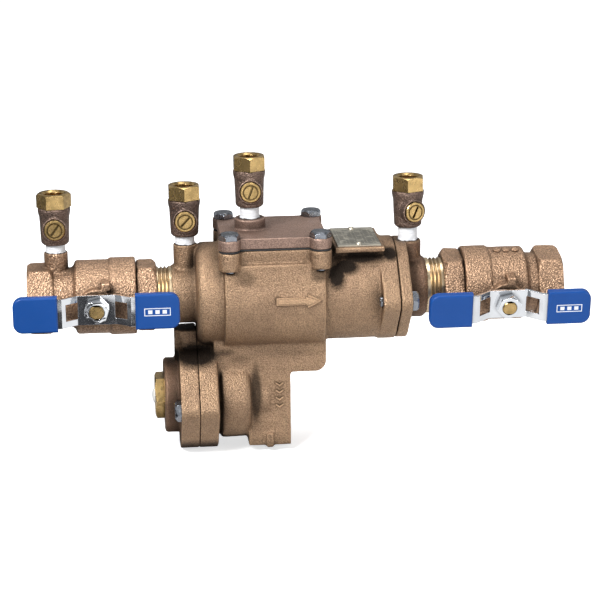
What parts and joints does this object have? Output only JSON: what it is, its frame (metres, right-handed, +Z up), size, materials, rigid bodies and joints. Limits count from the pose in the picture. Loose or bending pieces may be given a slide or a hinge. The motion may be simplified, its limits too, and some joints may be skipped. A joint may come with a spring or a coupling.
{
  "type": "reduced pressure backflow preventer",
  "caption": "Inline bronze backflow preventer with two check valves, a side relief valve, ball shutoffs with T handles and slotted test cocks.",
  "frame": {"origin": "centre of the inlet shutoff's threaded mouth, on the pipe axis", "axes": "+X along the pipe axis with the flow, +Z up towards the test cocks, -Y towards the handles"},
  "size_m": [0.3332, 0.0796, 0.1756],
  "materials": {
    "cast_bronze": "sand-cast bronze, warm tan-brown",
    "valve_bronze": "sand-cast bronze, lighter and warmer",
    "cover_bronze": "finer sand-cast bronze, pinkish brown",
    "cock_bronze": "cast bronze, dark purple-brown",
    "machined_brass": "machined yellow brass",
    "zinc_steel": "zinc-plated steel",
    "plated_steel": "bright plated sheet steel",
    "stainless_steel": "drawn stainless steel",
    "nickel_plate": "satin nickel silver",
    "blue_vinyl": "dipped vinyl, satin blue",
    "moulded_plastic": "moulded engineering plastic",
    "white_ptfe": "white fluoropolymer seats and thread tape",
    "black_rubber": "moulded black rubber"
  },
  "bodies": {
    "body": {"main_body": "cast_bronze", "top_cover": "cover_bronze", "cover_gasket": "black_rubber", "cover_bolts": "zinc_steel", "id_plate": "nickel_plate", "id_plate_screws": "nickel_plate", "outlet_cover": "cast_bronze", "outlet_cover_oring": "black_rubber", "outlet_cover_bolts": "zinc_steel", "relief_cover": "cast_bronze", "relief_cover_bolts": "zinc_steel", "relief_plug": "machined_brass", "relief_plug_cap": "white_ptfe", "inlet_nipple": "machined_brass", "outlet_nipple": "machined_brass", "relief_seat": "machined_brass", "relief_seat_oring": "black_rubber", "relief_diaphragm": "black_rubber", "relief_spring": "stainless_steel", "test_cock_bodies": "cock_bronze", "test_cock_caps": "machined_brass", "test_cock_seats": "white_ptfe", "thread_tape": "white_ptfe", "check1_seat": "moulded_plastic", "check1_seat_oring": "black_rubber", "check1_spring": "stainless_steel", "check1_guide": "moulded_plastic", "check2_seat": "moulded_plastic", "check2_seat_oring": "black_rubber", "check2_spring": "stainless_steel", "check2_guide": "moulded_plastic", "inlet_valve_body": "valve_bronze", "inlet_valve_end_cap": "valve_bronze", "inlet_valve_seats": "white_ptfe", "inlet_valve_packing": "white_ptfe", "outlet_valve_body": "valve_bronze", "outlet_valve_end_cap": "valve_bronze", "outlet_valve_seats": "white_ptfe", "outlet_valve_packing": "white_ptfe"},
    "inlet_shutoff": {"inlet_valve_ball": "nickel_plate", "inlet_valve_stem": "machined_brass", "inlet_handle": "plated_steel", "inlet_handle_grips": "blue_vinyl", "inlet_handle_nut": "plated_steel"},
    "outlet_shutoff": {"outlet_valve_ball": "nickel_plate", "outlet_valve_stem": "machined_brass", "outlet_handle": "plated_steel", "outlet_handle_grips": "blue_vinyl", "outlet_handle_nut": "plated_steel"},
    "first_check": {"check1_poppet": "moulded_plastic", "check1_disc": "black_rubber"},
    "second_check": {"check2_poppet": "moulded_plastic", "check2_disc": "black_rubber"},
    "relief_spindle": {"relief_stem": "stainless_steel", "relief_disc": "black_rubber", "relief_piston": "moulded_plastic"},
    "cock_stem_1": {"test_cock_1_stem": "machined_brass"},
    "cock_stem_2": {"test_cock_2_stem": "machined_brass"},
    "cock_stem_3": {"test_cock_3_stem": "machined_brass"},
    "cock_stem_4": {"test_cock_4_stem": "machined_brass"}
  },
  "joints": [
    {"name": "inlet_handle_turn", "type": "hinge", "parent": "body", "child": "inlet_shutoff", "pos_m": [0.0396, 0, 0], "axis": [0, 1, 0], "range_deg": [0, 90]},
    {"name": "outlet_handle_turn", "type": "hinge", "parent": "body", "child": "outlet_shutoff", "pos_m": [0.2782, 0, 0], "axis": [0, 0.9848, 0.1736], "range_deg": [0, 90]},
    {"name": "first_check_lift", "type": "slide", "parent": "body", "child": "first_check", "axis": [1, 0, 0], "range_m": [0, 0.008], "stiffness_N_per_m": 600, "springref_m": -0.012, "deforming": ["check1_spring"]},
    {"name": "second_check_lift", "type": "slide", "parent": "body", "child": "second_check", "axis": [1, 0, 0], "range_m": [0, 0.007], "stiffness_N_per_m": 600, "springref_m": -0.012, "deforming": ["check2_spring"]},
    {"name": "relief_close", "type": "slide", "parent": "body", "child": "relief_spindle", "axis": [1, 0, 0], "range_m": [0, 0.004], "stiffness_N_per_m": 1500, "springref_m": -0.004, "deforming": ["relief_spring", "relief_diaphragm"]},
    {"name": "test_cock_1_turn", "type": "hinge", "parent": "body", "child": "cock_stem_1", "pos_m": [0.0171, 0, 0.0427], "axis": [0, 1, 0], "range_deg": [-37, 53]},
    {"name": "test_cock_2_turn", "type": "hinge", "parent": "body", "child": "cock_stem_2", "pos_m": [0.0921, 0, 0.0454], "axis": [0, 1, 0], "range_deg": [-43, 47]},
    {"name": "test_cock_3_turn", "type": "hinge", "parent": "body", "child": "cock_stem_3", "pos_m": [0.1302, 0, 0.0616], "axis": [0, 1, 0], "range_deg": [-20, 70]},
    {"name": "test_cock_4_turn", "type": "hinge", "parent": "body", "child": "cock_stem_4", "pos_m": [0.2232, 0, 0.0468], "axis": [-0.2924, 0.9563, 0], "range_deg": [-25, 65]}
  ]
}
